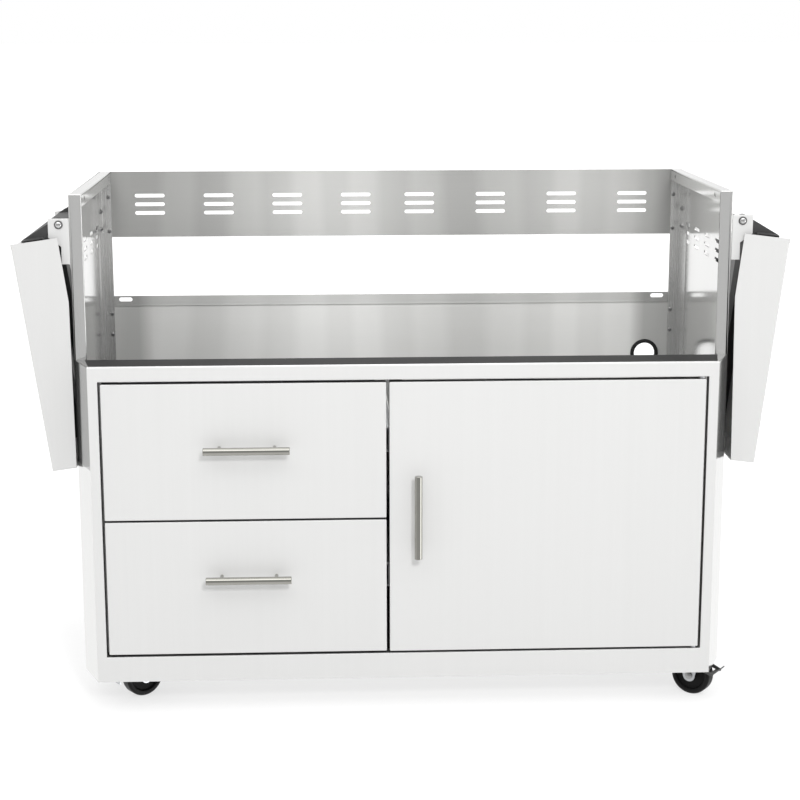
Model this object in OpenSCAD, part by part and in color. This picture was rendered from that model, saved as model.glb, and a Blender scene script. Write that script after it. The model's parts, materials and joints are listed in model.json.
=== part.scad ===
// Brushed steel cart for a drop-in grill: a cabinet on casters with two drawers and a door below an open
// grill bay, and a folding shelf on each side. Millimetres, +Z up, front towards -Y, origin on the floor.

/* [Cabinet] */
// Width over the side panels
cart_w = 1180; // [1080:1:1300]
// Depth from the front face to the back
cart_d = 545; // [520:1:640]
// Height of the lower edge of the panels above the floor
skirt_z = 60; // [56:1:64]
// Height of the front face, top ledge included
face_h = 582; // [560:1:640]
// Height of the grill bay's walls above the front face
wall_h = 296; // [260:1:360]
// Thickness of the steel sheet
sheet = 1.5; // [1.2:0.1:1.8]
// Width of the bevelled front corners
bevel_w = 31; // [24:1:34]
// Depth of the bevelled front corners
bevel_d = 75; // [65:1:90]
// Width of the flanges round the bay's side walls
flange_w = 23; // [18:1:26]
// Height of the lip that hangs from the top flange
lip_h = 22; // [15:1:30]
// Length of the fixing slots in the lips
lip_slot_l = 16; // [10:1:50]
// Height of the fixing slots in the lips
lip_slot_h = 7; // [4:0.1:8]
// Distance between the two fixing slots of a lip
lip_slot_span = 380; // [300:1:400]
// Height of the deck's underside, on which the casters are bolted
deck_z = 102; // [100:0.5:104]
// Distance from the front face to the black ledge
ledge_in = 8; // [5:0.5:20]
// Depth of the folded edge under the deck
deck_edge = 22; // [12:1:26]

/* [Front] */
// Width of the face frame at the left and right of the fronts
stile_w = 17.5; // [14:0.5:20]
// Height of the face frame above the fronts
top_rail_h = 26.5; // [20:0.5:32]
// Height of the face frame below the fronts
bottom_rail_h = 47; // [45:0.5:54]
// Gap between the fronts and the face frame
reveal = 4.5; // [4:0.1:6]
// Gap between the two drawer fronts
drawer_gap = 3.5; // [2.5:0.1:5]
// Gap between the drawer fronts and the door
door_gap = 5.5; // [4:0.1:8]
// Width of the drawer fronts
drawer_w = 503; // [460:1:540]
// Thickness of the drawer fronts and the door
front_t = 20; // [18:0.5:24]

/* [Rear] */
// Height of the slotted rear panel
upper_panel_h = 131.5; // [110:0.5:150]
// Height of the open gap between the rear panels
rear_gap_h = 120.5; // [80:0.5:140]
// Width of the rear corner posts along the back
post_w = 20; // [18:0.5:24]
// Length of the rear corner posts along the side panels
post_leg = 75; // [30:1:80]
// Height of the doubled strip along the top of the lower rear panel
hem_h = 20; // [16:1:28]
// Length of the vent slots in the rear panel
slot_l = 60; // [40:1:64]
// Length of the vent slots in the side panels
side_slot_l = 46; // [40:1:64]
// Height of the vent slots
slot_h = 7.4; // [5:0.1:9]
// Height from one row of vent slots to the next
slot_pitch = 17.4; // [14:0.1:20]
// Distance between the four left groups of vent slots in the rear panel
left_pitch = 138.5; // [120:0.5:142]
// Distance between the four right groups of vent slots in the rear panel
right_pitch = 144.8; // [120:0.1:146]
// Place of the middle of the rear panel's vent slots, from the middle of the cart
slots_shift = -10.6; // [-14:0.1:0]
// Distance between the two middle groups of vent slots
middle_pitch = 129; // [100:0.5:145]
// Distance from one side group of vent slots to the next
side_pitch = 95; // [85:0.5:100]
// Bore of the hose grommet
hose_bore_d = 43; // [30:0.5:44]
// Outer diameter of the hose grommet
grommet_d = 58; // [56:0.5:60]
// Height of the hose grommet's centre above the floor
grommet_z = 558.5; // [500:0.5:590]

/* [Handles] */
// Diameter of the handle bars
bar_d = 14; // [10:0.5:16]
// Length of the handle bars
bar_l = 153; // [130:1:180]
// Distance between the two posts of a handle
post_span = 98; // [80:1:110]
// Diameter of the handle posts
handle_post_d = 7; // [6:0.5:9]
// Distance from the front face to the centre of a handle bar
bar_reach = 29; // [28:1:45]
// Height of the upper drawer's handle above the middle of its front
upper_bar_up = 8; // [-10:0.5:15]
// Height of the lower drawer's handle above the middle of its front
lower_bar_up = 22; // [0:0.5:28]
// Distance of the drawers' handles to the right of the middle of their fronts
drawer_bar_right = 4; // [-20:1:20]
// Height of the door's handle above the middle of the door
door_bar_up = 8.5; // [-20:0.5:40]
// Distance from the door's free edge to its handle
door_bar_in = 50.5; // [30:0.5:80]

/* [Drawers] */
// Length of the drawer slides
slide_l = 450; // [380:1:470]
// Height of the drawer boxes
box_h = 152; // [148:1:170]
// Height of a drawer box above the lower edge of its front
box_up = 15; // [12:1:20]
// Height of a slide's middle above the lower edge of its front
slide_up = 138; // [110:1:138]
// Height of the drawer slides
slide_h = 45; // [40:1:50]
// Thickness of the drawer slides
slide_t = 12.7; // [12:0.1:14]

/* [Door] */
// Diameter of the door's pivot pins
pin_d = 8; // [6:0.5:9]
// Distance from the door's hinge edge to its pivot axis
pin_in = 7; // [6:0.5:7.5]
// Distance from the front face to the door's pivot axis
pin_back = 8; // [7.5:0.5:8]

/* [Side shelves] */
// Reach of a shelf from its hinge edge to its free edge
shelf_reach = 415; // [360:1:430]
// Length of a shelf from front to back
shelf_l = 556; // [520:1:600]
// Depth of a shelf's end plates at the hinge
shelf_edge = 83; // [75:1:86]
// Depth of a shelf's free edge
shelf_tip = 43.5; // [35:0.5:50]
// Length of the deep part of the end plates, from the hinge edge
shelf_shoulder = 115; // [80:1:160]
// Distance from the front face to the shelves
shelf_y = 64; // [60:1:66]
// Angle at which the left shelf hangs, from upright
left_hang = 8; // [7:0.1:8]
// Angle at which the right shelf hangs, from upright
right_hang = 6.8; // [6:0.1:8]
// Distance from the side panel out to a shelf's pivot
pivot_out = 18.3; // [17:0.1:20]
// Depth of a shelf's pivot below the top of the walls
pivot_down = 53.5; // [50:0.5:70]
// Depth of a shelf's pivot below the top of the raised shelf
pivot_under = 88; // [86:0.5:92]
// Distance from a shelf's pivot out to the shelf's hinge edge
pivot_in = 21.7; // [20:0.1:26]
// Width of the shelf brackets
bracket_w = 37; // [36:0.5:38]
// Height of the shelf brackets
bracket_h = 81; // [70:1:95]
// Height of the wide upper part of the shelf brackets
bracket_tab_h = 34; // [32:1:40]
// Width of the narrow lower part of the shelf brackets
bracket_foot_w = 15; // [12:1:24]
// Thickness of the shelf brackets and hinge ears
bracket_t = 3; // [2:0.5:4]
// Diameter of the shelves' pivot bolts
pivot_bolt_d = 8; // [6:0.5:9]

/* [Casters] */
// Diameter of the caster wheels
wheel_d = 76; // [70:1:76]
// Width of the caster wheels
wheel_w = 25; // [20:0.5:26]
// Distance from a caster's swivel axis to its wheel's axis
trail = 33; // [28:0.5:34]
// Distance from the outside of the side panels in to the casters' swivel axes
caster_in = 75; // [75:1:150]
// Distance from the front face, or the back, to the casters' swivel axes
caster_y = 77; // [77:1:120]
// Diameter of the caster axles
axle_d = 8; // [6:0.5:10]
// Angles of the four casters: front left, front right, rear left, rear right
caster_turn = [36.5, -36.5, 68, 112];

/* [Hidden] */
$fn = 36;

// Clearances: sheets that pass each other, pins that turn, and parts that swing past each other
seam = 0.2;
running = 0.05;
swing = 0.4;
// A cut reaches this far past the faces that it opens
past = 1;

half_w = cart_w / 2;
face_top = skirt_z + face_h;
wall_top = face_top + wall_h;
face_half = half_w - bevel_w;
skin_x = half_w - sheet;
inner_x = half_w - 2 * sheet - seam;
panel_y = cart_d - sheet;
panel_half = skin_x - seam;
inner_y = panel_y - sheet - seam;
lip_x = half_w - flange_w;
post_in = skin_x - post_w;
bevel_slope = bevel_w / bevel_d;
bevel_stretch = sqrt(1 + bevel_slope * bevel_slope);
ledge_half = lip_x + 4;
ledge_front_half = face_half - 2;
ledge_fold = 30;
frame_fold = 16;
mid_y = (shelf_y + shelf_l - bar_reach - bar_d / 2) / 2;

// The opening in the face frame, and the fronts that fill it
open_half = face_half - stile_w;
open_low = skirt_z + bottom_rail_h;
open_top = face_top - top_rail_h;
frame_back = front_t;
front_low = open_low + reveal;
front_top = open_top - reveal;
drawer_h = (front_top - front_low - drawer_gap) / 2;
upper_low = front_low + drawer_h + drawer_gap;
drawer_left = -open_half + reveal;
drawer_right = drawer_left + drawer_w;
door_left = drawer_right + door_gap;
door_right = open_half - reveal;
drawer_bar_x = (drawer_left + drawer_right) / 2 + drawer_bar_right;

// Drawer slides lie between the drawer box and the panels that carry them
slide_left = -open_half + sheet;
slide_right = door_left + 1;
box_left = slide_left + slide_t;
box_right = slide_right - slide_t;
slide_y = front_t + 4;
inside_down = 97;
inside_top = face_top - inside_down;
rail_bay = 40;
slide_wall = 1.2;
slide_run = 0.4;
slide_levels = [upper_low + slide_up, front_low + slide_up];

pin_x = door_right - pin_in;
pin_over = 6;
collar_r = pin_d / 2 + 1.5;

pivot_x = half_w + pivot_out;
pivot_z = wall_top - pivot_down;
bracket_top = pivot_z + 11;
bracket_front = bevel_d;
bracket_rear = cart_d - 15;
bracket_leg = 30;
bracket_slope_h = 16;
bracket_screw_in = 9;
bracket_screw_up = 12;
ear_r = 12;
bolt_head_r = 5.5;
bolt_head_t = 4;
washer_r = 7.6;
washer_t = 1.5;
nut_r = 7;
nut_t = 6;

screw_r = 2;
screw_head_r = 4;
screw_head_t = 2;
screw_nut_r = 5;
screw_nut_t = 3.2;

// Places of the rear panels
upper_panel_low = wall_top - upper_panel_h;
lower_panel_top = upper_panel_low - rear_gap_h;
screw_x = post_in + 5;
screw_end = 2;
top_screw_down = 51;
gap_screw_up = 12;
strip_screw_down = 36;
hose_screw_down = 79;
middle_screw_up = 320;
foot_screw_up = 70;
upper_screws = [wall_top - top_screw_down, upper_panel_low + gap_screw_up];
lower_screws = [
    lower_panel_top - strip_screw_down, lower_panel_top - hose_screw_down,
    skirt_z + middle_screw_up, skirt_z + foot_screw_up
];
grommet_x = face_half - 37;
grommet_neck_d = (hose_bore_d + grommet_d) / 2;

// Casters, drawn about their swivel axis with the wheel trailing towards +X
caster_x = half_w - caster_in;
caster_places = [
    [-caster_x, caster_y], [caster_x, caster_y],
    [-caster_x, cart_d - caster_y], [caster_x, cart_d - caster_y]
];
wheel_r = wheel_d / 2;
plate_t = 2.5;
plate_l = 64;
plate_w = 84;
plate_bolt_x = 46;
plate_bolt_y = 66;
kingpin_r = 5;
race_r = 24;
race_t = 8;
race_top = deck_z - plate_t - 0.3;
race_low = race_top - race_t;
yoke_t = 2.5;
yoke_low = race_low - yoke_t;
leg_in = wheel_w / 2 + 1.5;
leg_out = leg_in + yoke_t;
lever_pivot = [45, 60];
lever_tail = [80, 48];
rivet_r = 2;

module placed() {
    translate([0, -mid_y, 0]) children();
}

// A block from its lowest corner to its highest
module block(low, high) {
    translate(low) cube(high - low);
}

// A rod along Y between two depths
module rod_y(x, z, y0, y1, r) {
    translate([x, y1, z]) rotate([90, 0, 0]) cylinder(h = y1 - y0, r = r);
}

// A round-ended slot, as a flat outline centred on the origin
module slot_outline(length, height) {
    square([length - height, height], center = true);
    for (side = [-1, 1])
        translate([side * (length - height) / 2, 0]) circle(d = height, $fn = 16);
}

// Three slots above each other, as a flat outline
module slot_group(length) {
    for (row = [-1:1])
        translate([0, row * slot_pitch]) slot_outline(length, slot_h);
}

module mirrored(side) {
    if (side < 0)
        mirror([1, 0, 0]) children();
    else
        children();
}

// Right side panel: outer skin, front flange, top flange and hanging lip of one folded sheet
module side_panel_sheet() {
    slots_in = 78;
    slots_down = 121;
    slots_y = cart_d - slots_in;
    slots_z = wall_top - slots_down;
    lip_slot_y = bevel_d + (cart_d - bevel_d - lip_slot_span) / 2;
    difference() {
        union() {
            block([skin_x, bevel_d, skirt_z], [half_w, cart_d, wall_top]);
            block([lip_x, bevel_d, face_top], [half_w, bevel_d + sheet, wall_top]);
            block([lip_x, bevel_d, wall_top - sheet], [half_w, panel_y - seam, wall_top]);
            block([lip_x, bevel_d, wall_top - lip_h], [lip_x + sheet, inner_y, wall_top]);
        }
        for (group = [0:3])
            translate([half_w + past, slots_y - group * side_pitch, slots_z])
                rotate([90, 0, -90]) linear_extrude(sheet + 2 * past) slot_group(side_slot_l);
        for (slot = [0, 1])
            translate([lip_x - past, lip_slot_y + slot * lip_slot_span, wall_top - lip_h / 2])
                rotate([90, 0, 90]) linear_extrude(sheet + 2 * past) slot_outline(lip_slot_l, lip_slot_h);
        for (y = [bracket_front, bracket_rear + bracket_t])
            bracket_screw_holes(half_w - sheet, half_w, y);
    }
}

// Heights of the two screws of a bracket, and their place along Y for a bracket whose plate starts at y
function bracket_screw_levels() = [bracket_top - bracket_tab_h, bracket_top - bracket_h + bracket_screw_up];
function bracket_screw_y(y) = y < cart_d / 2 ? y + bracket_leg - bracket_screw_in : y - bracket_leg + bracket_screw_in;

// Holes for the screws of a bracket through what lies between two places along X
module bracket_screw_holes(from, to, y) {
    for (z = bracket_screw_levels())
        translate([from - past, bracket_screw_y(y), z])
            rotate([0, 90, 0]) cylinder(h = to - from + 2 * past, r = screw_r + running);
}

module left_side_panel() {
    color("silver") placed() mirrored(-1) side_panel_sheet();
}

module right_side_panel() {
    color("silver") placed() side_panel_sheet();
}

// Place along X, and along Y, of a line behind the bevelled face at the given depth
function bevel_x(y, depth) = face_half + bevel_slope * y - depth * bevel_stretch;
function bevel_y(x, depth) = (x - face_half + depth * bevel_stretch) / bevel_slope;

// Right corner post: the bevelled sheet with a lip behind the face frame and one inside the side panel
module corner_post_sheet() {
    lip = 10;
    side_lip = 18;
    double = 2 * sheet;
    translate([0, 0, skirt_z]) linear_extrude(face_h - sheet)
        polygon([
            [face_half, 0], [half_w, bevel_d], [skin_x, bevel_d], [skin_x, bevel_d + side_lip],
            [half_w - double, bevel_d + side_lip], [half_w - double, bevel_y(half_w - double, sheet)],
            [bevel_x(double, sheet), double], [face_half - lip, double],
            [face_half - lip, sheet], [face_half, sheet]
        ]);
    translate([0, 0, face_top - sheet]) linear_extrude(sheet)
        polygon([
            [face_half, 0], [half_w, bevel_d], [ledge_half + seam, bevel_d],
            [ledge_front_half + seam, ledge_in], [face_half, ledge_in]
        ]);
}

module left_corner_post() {
    color("gainsboro") placed() mirrored(-1) corner_post_sheet();
}

module right_corner_post() {
    color("gainsboro") placed() corner_post_sheet();
}

// Right rear post: an angle inside the corner of the side panel and the back
module rear_post_angle() {
    difference() {
        union() {
            block([skin_x - sheet, panel_y - post_leg, skirt_z], [skin_x, panel_y, wall_top - sheet]);
            block([post_in, panel_y - sheet, skirt_z], [skin_x, panel_y, wall_top - sheet]);
        }
        for (z = concat(upper_screws, lower_screws))
            rod_y(screw_x, z, panel_y - sheet - past, panel_y + past, screw_r + running);
        bracket_screw_holes(skin_x - sheet, skin_x, bracket_rear + bracket_t);
    }
}

module left_rear_post() {
    color("darkgray") placed() mirrored(-1) rear_post_angle();
}

module right_rear_post() {
    color("darkgray") placed() rear_post_angle();
}

// Face frame: a flat sheet with one opening, whose edges are folded back
module face_frame() {
    top = face_top - sheet;
    color("gainsboro") placed()
        difference() {
            union() {
                block([-face_half, 0, skirt_z], [face_half, sheet, top]);
                block([-open_half - sheet, 0, open_low - sheet], [open_half + sheet, frame_back, open_top + sheet]);
                block([-face_half, 0, top], [face_half, ledge_in - seam, face_top]);
                block([-face_half + frame_fold, 0, top - sheet], [face_half - frame_fold, frame_fold, top]);
            }
            block([-open_half, -past, open_low], [open_half, frame_back + past, open_top]);
            for (z = [open_low - sheet, open_top])
                translate([pin_x, pin_back, z - past])
                    cylinder(h = sheet + 2 * past, r = pin_d / 2 + running);
        }
}

// Black ledge along the top of the front, with its rear edge folded down
module top_ledge() {
    color("dimgray") placed() {
        translate([0, 0, face_top - sheet]) linear_extrude(sheet)
            polygon([
                [-ledge_front_half, ledge_in], [ledge_front_half, ledge_in],
                [ledge_half, bevel_d], [-ledge_half, bevel_d]
            ]);
        block([-ledge_half, bevel_d - sheet, face_top - ledge_fold], [ledge_half, bevel_d, face_top - sheet]);
    }
}

// Plan of the deck, drawn in by a margin
module deck_outline(margin) {
    low_y = 2 * sheet + seam + margin;
    side_x = inner_x - margin;
    depth = sheet + seam + margin;
    front_x = bevel_x(low_y, depth);
    bevel_end = bevel_y(side_x, depth);
    polygon([
        [-front_x, low_y], [front_x, low_y], [side_x, bevel_end], [side_x, inner_y - margin],
        [-side_x, inner_y - margin], [-side_x, bevel_end]
    ]);
}

// Deck: the cabinet's floor with its edges folded down
module deck() {
    color("silver") placed()
        difference() {
            translate([0, 0, deck_z - deck_edge]) linear_extrude(deck_edge + sheet) deck_outline(0);
            translate([0, 0, deck_z - deck_edge - past]) linear_extrude(deck_edge + past) deck_outline(sheet);
            for (place = caster_places)
                translate([place[0], place[1], 0]) plate_holes(deck_z - past, deck_z + sheet + past);
        }
}

// Rear upper panel, with eight groups of vent slots
module rear_upper_panel() {
    slots_z = wall_top - 65.5;
    color("silver") placed()
        difference() {
            block([-panel_half, panel_y, upper_panel_low], [panel_half, cart_d, wall_top]);
            for (group = [0:3])
                for (x = [-middle_pitch / 2 - group * left_pitch, middle_pitch / 2 + group * right_pitch])
                    translate([slots_shift + x, cart_d + past, slots_z])
                        rotate([90, 0, 0]) linear_extrude(sheet + 2 * past) slot_group(slot_l);
            rear_screw_holes(upper_screws);
        }
}

// Holes for the screws that hold the rear panels
module rear_screw_holes(levels) {
    for (side = [-1, 1])
        for (z = levels)
            rod_y(side * screw_x, z, panel_y - past, cart_d + past, screw_r + running);
}

// Rear lower panel: the back of the cabinet, doubled along its top, with the hose hole
module rear_lower_panel() {
    end_slot_l = 27;
    end_slot_h = 8.5;
    end_slot_x = post_in - 23.5;
    color("silver") placed()
        difference() {
            union() {
                block([-panel_half, panel_y, skirt_z], [panel_half, cart_d, lower_panel_top]);
                block([-post_in + seam, panel_y - sheet, lower_panel_top - hem_h],
                      [post_in - seam, panel_y, lower_panel_top]);
            }
            for (side = [-1, 1])
                translate([side * end_slot_x, cart_d + past, lower_panel_top - hem_h / 2 + 3])
                    rotate([90, 0, 0]) linear_extrude(3 * sheet + 2 * past)
                        slot_outline(end_slot_l, end_slot_h);
            rod_y(grommet_x, grommet_z, panel_y - past, cart_d + past, grommet_neck_d / 2);
            rear_screw_holes(lower_screws);
        }
}

// Screws that hold the rear panels to the rear posts, with their heads inside
module rear_panel_screws() {
    color("gray") placed()
        for (side = [-1, 1])
            for (z = concat(upper_screws, lower_screws)) {
                rod_y(side * screw_x, z, panel_y - sheet, cart_d + screw_end, screw_r);
                rod_y(side * screw_x, z, panel_y - sheet - screw_head_t, panel_y - sheet, screw_head_r);
            }
}

// Rubber grommet for the gas hose, clipped over the edge of its hole
module hose_grommet() {
    lip = 4;
    color("black") placed()
        translate([grommet_x, panel_y, grommet_z]) rotate([-90, 0, 0])
            difference() {
                union() {
                    translate([0, 0, -lip]) cylinder(h = lip, d = grommet_d);
                    cylinder(h = sheet, d = grommet_neck_d - 2 * running);
                    translate([0, 0, sheet]) cylinder(h = lip, d = grommet_d);
                }
                translate([0, 0, -lip - past]) cylinder(h = sheet + 2 * lip + 2 * past, d = hose_bore_d);
            }
}

// A panel from the face frame to the back, as tall as the front opening at its front end only
module partition(x, front, low) {
    translate([x + sheet, 0, 0]) rotate([90, 0, -90]) mirror([1, 0, 0]) linear_extrude(sheet)
        polygon([
            [front, low], [inner_y, low], [inner_y, inside_top], [front + rail_bay, inside_top],
            [front + rail_bay / 2, open_top], [front, open_top]
        ]);
}

partition_flange = 20;
slide_panel_up = 6;

// Panel that carries the left slides, with a flange along the back
module slide_panel() {
    low = deck_z + sheet + slide_panel_up;
    color("silver") placed() {
        partition(slide_left - sheet, frame_back + seam, low);
        block([slide_left - partition_flange, inner_y - sheet, low], [slide_left, inner_y, inside_top]);
    }
}

catch_down = 60;
catch_h = 40;
catch_d = 17;
catch_z = front_top - catch_down;
divider_y = frame_back + 2;

// Divider between the drawers and the door, with flanges along the front, the back and the deck
module divider() {
    flange = partition_flange + 2;
    low = deck_z + sheet + seam;
    color("silver") placed()
        difference() {
            union() {
                partition(slide_right, divider_y, low);
                block([slide_right, divider_y, low], [slide_right + flange, divider_y + sheet, open_top]);
                block([slide_right, inner_y - sheet, low], [slide_right + flange, inner_y, inside_top]);
                block([slide_right, divider_y, low], [slide_right + flange, inner_y, low + sheet]);
            }
            block([slide_right + sheet, divider_y - past, catch_z - catch_h / 2 - seam],
                  [slide_right + flange + past, divider_y + sheet + past, catch_z + catch_h / 2 + seam]);
        }
}

// A channel of the slides, with its web at x = 0 and its flanges towards +X
module slide_channel(height, depth, length) {
    difference() {
        block([0, 0, -height / 2], [depth, length, height / 2]);
        block([slide_wall, -past, -height / 2 + slide_wall], [depth + past, length + past, height / 2 - slide_wall]);
    }
}

// The two slides of one drawer: side 0 is the left one, whose back is at the lower x
module at_slides(level) {
    translate([slide_left, slide_y, slide_levels[level]]) children();
    translate([slide_right, slide_y, slide_levels[level]]) mirror([1, 0, 0]) children();
}

middle_h = slide_h - 2 * slide_wall - 2 * slide_run;
inner_h = middle_h - 2 * slide_wall - 2 * slide_run;

// Outer rails of all four slides, fixed to the cabinet
module slide_outer_rails() {
    color("lightgray") placed()
        for (level = [0, 1])
            at_slides(level) slide_channel(slide_h, slide_t - 3, slide_l);
}

// Middle rails, which travel half as far as the drawer
module slide_middles(level) {
    color("lightgray") placed()
        at_slides(level) translate([slide_wall + slide_run, 0, 0])
            slide_channel(middle_h, slide_t - 3.4, slide_l);
}

// Inner rails, fixed to the drawer box, with their web against it
module slide_inners(level) {
    color("lightgray") placed()
        at_slides(level) translate([slide_t, 0, 0]) mirror([1, 0, 0])
            slide_channel(inner_h, slide_t - 2 * slide_wall - 2 * slide_run, slide_l);
}

module upper_slide_middles() { slide_middles(0); }
module lower_slide_middles() { slide_middles(1); }
module upper_slide_inners() { slide_inners(0); }
module lower_slide_inners() { slide_inners(1); }

// A folded front: a face sheet with its edges turned back, open behind
module front_pan(left, right, low, top) {
    difference() {
        block([left, 0, low], [right, front_t, top]);
        block([left + sheet, sheet, low + sheet], [right - sheet, front_t + past, top - sheet]);
    }
}

// Clearance holes for the two screws of a handle
module handle_holes(x, z, upright) {
    for (side = [-1, 1])
        rod_y(x + (upright ? 0 : side * post_span / 2), z + (upright ? side * post_span / 2 : 0),
              -past, 2 * sheet + past, screw_r + running);
}

module drawer_front(low, bar_up) {
    color("whitesmoke") placed()
        difference() {
            front_pan(drawer_left, drawer_right, low, low + drawer_h);
            handle_holes(drawer_bar_x, low + drawer_h / 2 + bar_up, false);
        }
}

// Drawer box of folded sheet, open above, whose front end lies against the face sheet
module drawer_box(low, bar_up) {
    floor_z = low + box_up;
    back = slide_y + slide_l;
    color("silver") placed()
        difference() {
            block([box_left, sheet, floor_z], [box_right, back, floor_z + box_h]);
            block([box_left + sheet, 2 * sheet, floor_z + sheet],
                  [box_right - sheet, back - sheet, floor_z + box_h + past]);
            handle_holes(drawer_bar_x, low + drawer_h / 2 + bar_up, false);
        }
}

// Handle bar centred on a point of the front, lying along X or standing along Z
module handle_bar(x, z, upright) {
    color("lightsteelblue") placed()
        translate([x, -bar_reach, z]) rotate([0, upright ? 0 : 90, 0])
            difference() {
                cylinder(h = bar_l, d = bar_d, center = true);
                for (side = [-1, 1])
                    translate([0, 0, side * post_span / 2]) rotate([-90, 0, 0])
                        translate([0, 0, bar_d / 2 - bar_d / 4])
                            cylinder(h = bar_d, d = handle_post_d + 2 * running);
            }
}

// The two posts of a handle, each with the screw that grips the sheets behind it
module handle_posts(x, z, upright, grip) {
    color("lightsteelblue") placed()
        for (side = [-1, 1])
            translate([x + (upright ? 0 : side * post_span / 2), 0, z + (upright ? side * post_span / 2 : 0)]) {
                rod_y(0, 0, -bar_reach + bar_d / 4, 0, handle_post_d / 2);
                rod_y(0, 0, 0, grip + screw_head_t, screw_r);
                rod_y(0, 0, grip, grip + screw_head_t, screw_head_r);
            }
}

upper_bar_z = upper_low + drawer_h / 2 + upper_bar_up;
lower_bar_z = front_low + drawer_h / 2 + lower_bar_up;
door_bar_x = door_left + door_bar_in;
door_bar_z = (front_low + front_top) / 2 + door_bar_up;

module upper_drawer_front() { drawer_front(upper_low, upper_bar_up); }
module lower_drawer_front() { drawer_front(front_low, lower_bar_up); }
module upper_drawer_box() { drawer_box(upper_low, upper_bar_up); }
module lower_drawer_box() { drawer_box(front_low, lower_bar_up); }
module upper_handle_bar() { handle_bar(drawer_bar_x, upper_bar_z, false); }
module lower_handle_bar() { handle_bar(drawer_bar_x, lower_bar_z, false); }
module door_handle_bar() { handle_bar(door_bar_x, door_bar_z, true); }
module upper_handle_posts() { handle_posts(drawer_bar_x, upper_bar_z, false, 2 * sheet); }
module lower_handle_posts() { handle_posts(drawer_bar_x, lower_bar_z, false, 2 * sheet); }
module door_handle_posts() { handle_posts(door_bar_x, door_bar_z, true, sheet); }

// Door skin: the folded front, bored top and bottom for the pivot pins
module door_skin() {
    color("whitesmoke") placed()
        difference() {
            front_pan(door_left, door_right, front_low, front_top);
            handle_holes(door_bar_x, door_bar_z, true);
            for (z = [front_low, front_top - sheet])
                translate([pin_x, pin_back, z - past]) cylinder(h = sheet + 2 * past, r = pin_d / 2 + running);
        }
}

// Door liner: a sheet that closes the back of the door skin
module door_liner() {
    edge = sheet + seam;
    color("silver") placed()
        block([door_left + edge, front_t - sheet, front_low + edge],
              [door_right - edge, front_t, front_top - edge]);
}

// Pivot pins, fixed in the folded edges of the face frame, each with a collar that carries the door
module door_pivot_pins() {
    color("gray") placed()
        for (end = [0, 1])
            translate([pin_x, pin_back, end == 0 ? open_low : open_top]) mirror([0, 0, end]) {
                translate([0, 0, -sheet]) cylinder(h = sheet + reveal + pin_over, d = pin_d);
                cylinder(h = reveal - swing, r = collar_r);
            }
}

// Magnetic catch for the door, on the side of the divider
module door_catch() {
    color("dimgray") placed()
        block([slide_right + sheet, frame_back + seam, catch_z - catch_h / 2],
              [slide_right + partition_flange, frame_back + catch_d, catch_z + catch_h / 2]);
}

// Shelf bracket: a plate across the pivot, narrower below, and a leg along the side panel
module bracket(y, leg_to) {
    out = half_w + bracket_w;
    foot = half_w + bracket_foot_w;
    low = bracket_top - bracket_h;
    tab_low = bracket_top - bracket_tab_h;
    difference() {
        union() {
            translate([0, y + bracket_t, 0]) rotate([90, 0, 0]) linear_extrude(bracket_t)
                polygon([
                    [half_w, low], [foot, low], [foot, tab_low - bracket_slope_h], [out, tab_low],
                    [out, bracket_top], [half_w, bracket_top]
                ]);
            block([half_w, min(y, leg_to), low], [half_w + bracket_t, max(y, leg_to), bracket_top]);
        }
        rod_y(pivot_x, pivot_z, y - past, y + bracket_t + past, pivot_bolt_d / 2 + running);
        bracket_screw_holes(half_w, half_w + bracket_t, leg_to > y ? y : y + bracket_t);
    }
}

module shelf_brackets() {
    color("gainsboro") placed()
        for (side = [-1, 1])
            mirrored(side) {
                bracket(bracket_front, bracket_front + bracket_leg);
                bracket(bracket_rear, bracket_rear + bracket_t - bracket_leg);
            }
}

// Screws that hold the brackets, with their nuts inside the cabinet
module bracket_screws() {
    color("gray") placed()
        for (side = [-1, 1])
            mirrored(side)
                for (y = [bracket_front, bracket_rear + bracket_t])
                    for (z = bracket_screw_levels())
                        translate([half_w, bracket_screw_y(y), z]) rotate([0, 90, 0])
                            bracket_screw(y < cart_d / 2 ? sheet : 2 * sheet);
}

// One bracket screw with its nut, drawn from the outer face of a side panel towards +Z
module bracket_screw(grip) {
    translate([0, 0, -grip - screw_nut_t - screw_end])
        cylinder(h = grip + screw_nut_t + screw_end + bracket_t, r = screw_r);
    translate([0, 0, -grip - screw_nut_t]) cylinder(h = screw_nut_t, r = screw_nut_r, $fn = 6);
    translate([0, 0, bracket_t]) cylinder(h = screw_head_t, r = screw_head_r);
}

// Depths of the hinge ears, which lie on the inner side of each bracket plate
ear_front = bracket_front + bracket_t + swing;
ear_rear = bracket_rear - swing - bracket_t;

// One pivot bolt, drawn from its head at y = 0 towards +Y, with washer, shank and nut
module pivot_bolt() {
    grip = 2 * bracket_t + swing;
    translate([pivot_x, 0, pivot_z]) rotate([-90, 0, 0]) {
        translate([0, 0, -washer_t - bolt_head_t]) cylinder(h = bolt_head_t, r = bolt_head_r);
        translate([0, 0, -washer_t]) cylinder(h = washer_t, r = washer_r);
        cylinder(h = grip + swing + nut_t + 2, d = pivot_bolt_d);
        translate([0, 0, grip + swing]) cylinder(h = nut_t, r = nut_r, $fn = 6);
    }
}

module shelf_pivot_bolts() {
    color("gray") placed()
        for (side = [-1, 1])
            mirrored(side) {
                translate([0, bracket_front, 0]) pivot_bolt();
                translate([0, bracket_rear + bracket_t, 0]) mirror([0, 1, 0]) pivot_bolt();
            }
}

// Moves a raised right shelf, drawn with its pivot at the origin, to where it hangs on either side
module hung(side, hang) {
    mirrored(side)
        translate([pivot_x, 0, pivot_z]) rotate([0, 90 + hang, 0]) children();
}

shelf_in = pivot_in;
shelf_out = pivot_in + shelf_reach;
shelf_back = shelf_y + shelf_l;
skin_in = shelf_in + 6;

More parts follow.
